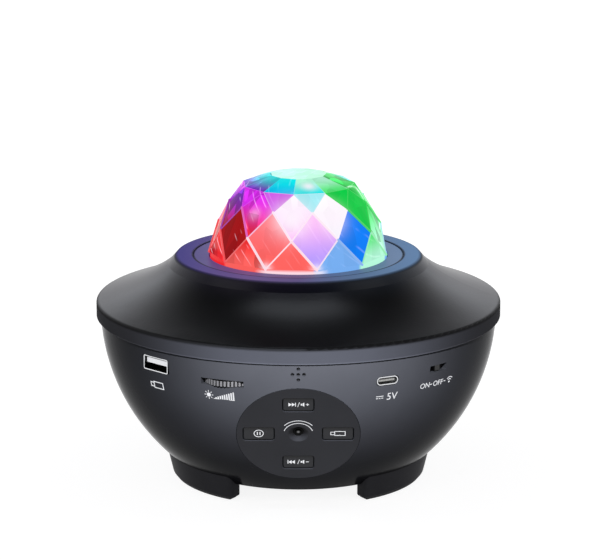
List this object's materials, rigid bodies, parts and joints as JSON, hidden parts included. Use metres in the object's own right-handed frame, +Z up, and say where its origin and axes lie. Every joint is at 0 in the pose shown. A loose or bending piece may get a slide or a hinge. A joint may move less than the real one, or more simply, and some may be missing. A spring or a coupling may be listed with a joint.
{
  "type": "star night light projector",
  "caption": "Round bowl-shaped light projector with a flared cover, a faceted crystal dome, front controls and a loudspeaker, standing on three feet.",
  "frame": {"origin": "on the floor, in the middle of the three feet, on the object's round axis", "axes": "+Z up through the dome; the control panel faces -Y; +X is on the right of someone who looks at the panel"},
  "size_m": [0.16, 0.16, 0.1208],
  "materials": {
    "black_plastic": "satin black moulded plastic",
    "ring_plastic": "satin black moulded plastic",
    "crystal_acrylic": "clear faceted acrylic, lit in colours from inside",
    "panel_plastic": "matt dark grey plastic",
    "button_plastic": "matt black plastic with printed symbols",
    "pad_rubber": "soft black rubber",
    "screw_steel": "zinc plated steel",
    "dark_window": "dark glossy filter plastic",
    "board_laminate": "green circuit board",
    "lamp_laminate": "white metal-core board",
    "component_plastic": "black component bodies",
    "connector_steel": "bright plated sheet metal",
    "white_plastic": "white moulded plastic",
    "connector_black": "black connector plastic",
    "contact_brass": "gold-coloured metal",
    "speaker_steel": "dark pressed steel",
    "cone_paper": "coated paper",
    "chassis_plastic": "light grey moulded plastic",
    "lamp_phosphor": "lamp chips",
    "clear_acrylic": "clear acrylic",
    "grating_glass": "etched glass",
    "sink_aluminium": "bare aluminium",
    "lead_jacket": "soft insulated lead"
  },
  "bodies": {
    "housing": {"lower_bowl": "black_plastic", "top_cover": "black_plastic", "base_plate": "black_plastic", "dome_ring": "ring_plastic", "crystal_dome": "crystal_acrylic", "control_panel": "panel_plastic", "foot_pads": "pad_rubber", "speaker_gasket": "pad_rubber", "speaker_surround": "pad_rubber", "base_screws": "screw_steel", "cover_screws": "screw_steel", "speaker_screws": "screw_steel", "panel_screws": "screw_steel", "board_screws": "screw_steel", "chassis_screws": "screw_steel", "heat_sink_screws": "screw_steel", "receiver_window": "dark_window", "infrared_receiver": "dark_window", "button_board": "board_laminate", "main_board": "board_laminate", "led_board": "lamp_laminate", "board_components": "component_plastic", "tact_switches": "component_plastic", "power_switch_body": "component_plastic", "potentiometer": "component_plastic", "usb_a_shell": "connector_steel", "usb_c_shell": "connector_steel", "microphone": "connector_steel", "drive_motor": "connector_steel", "usb_a_tongue": "white_plastic", "disc_retainer": "white_plastic", "usb_c_tongue": "connector_black", "usb_a_contacts": "contact_brass", "laser_module": "contact_brass", "speaker_basket": "speaker_steel", "speaker_magnet": "speaker_steel", "optical_chassis": "chassis_plastic", "led_lamps": "lamp_phosphor", "led_lenses": "clear_acrylic", "heat_sink": "sink_aluminium", "speaker_lead": "lead_jacket", "lamp_lead": "lead_jacket", "panel_lead": "lead_jacket"},
    "next_button": {"next_button": "button_plastic"},
    "previous_button": {"previous_button": "button_plastic"},
    "pause_button": {"pause_button": "button_plastic"},
    "mode_button": {"mode_button": "button_plastic"},
    "brightness_wheel": {"brightness_wheel": "button_plastic"},
    "power_switch_slider": {"power_switch_slider": "button_plastic"},
    "speaker_cone": {"speaker_cone": "cone_paper"},
    "ripple_disc": {"ripple_disc": "clear_acrylic"},
    "star_grating_wheel": {"grating_gear": "white_plastic", "star_grating": "grating_glass"},
    "motor_pinion": {"motor_pinion": "white_plastic"}
  },
  "joints": [
    {"name": "next_button_press", "type": "slide", "parent": "housing", "child": "next_button", "axis": [0, 0.8877, 0.4603], "range_m": [0, 0.0005], "stiffness_N_per_m": 300},
    {"name": "previous_button_press", "type": "slide", "parent": "housing", "child": "previous_button", "axis": [0, 0.8877, 0.4603], "range_m": [0, 0.0005], "stiffness_N_per_m": 300},
    {"name": "pause_button_press", "type": "slide", "parent": "housing", "child": "pause_button", "axis": [0, 0.8877, 0.4603], "range_m": [0, 0.0005], "stiffness_N_per_m": 300},
    {"name": "mode_button_press", "type": "slide", "parent": "housing", "child": "mode_button", "axis": [0, 0.8877, 0.4603], "range_m": [0, 0.0005], "stiffness_N_per_m": 300},
    {"name": "brightness_turn", "type": "hinge", "parent": "housing", "child": "brightness_wheel", "pos_m": [-0.02545, -0.06362, 0.05545], "axis": [0, 0, 1], "range_deg": [-130, 130]},
    {"name": "power_slide", "type": "slide", "parent": "housing", "child": "power_switch_slider", "axis": [0.7278, 0.6858, 0], "range_m": [-0.0025, 0.0025]},
    {"name": "cone_stroke", "type": "slide", "parent": "housing", "child": "speaker_cone", "axis": [0, 0, 1], "range_m": [-0.0005, 0.0005], "stiffness_N_per_m": 800},
    {"name": "ripple_spin", "type": "hinge", "parent": "housing", "child": "ripple_disc", "pos_m": [-0.009, 0, 0.0755], "axis": [0, 0, 1], "continuous": true},
    {"name": "grating_spin", "type": "hinge", "parent": "housing", "child": "star_grating_wheel", "pos_m": [0.0198, 0, 0.0755], "axis": [0, 0, 1], "continuous": true},
    {"name": "pinion_spin", "type": "hinge", "parent": "housing", "child": "motor_pinion", "pos_m": [-0.009, 0.0248, 0.0755], "axis": [0, 0, 1], "continuous": true}
  ],
  "couplings": [
    {"joint": "grating_spin", "follows": "ripple_spin", "ratio": -2.2727},
    {"joint": "pinion_spin", "follows": "ripple_spin", "ratio": -4.1667}
  ]
}
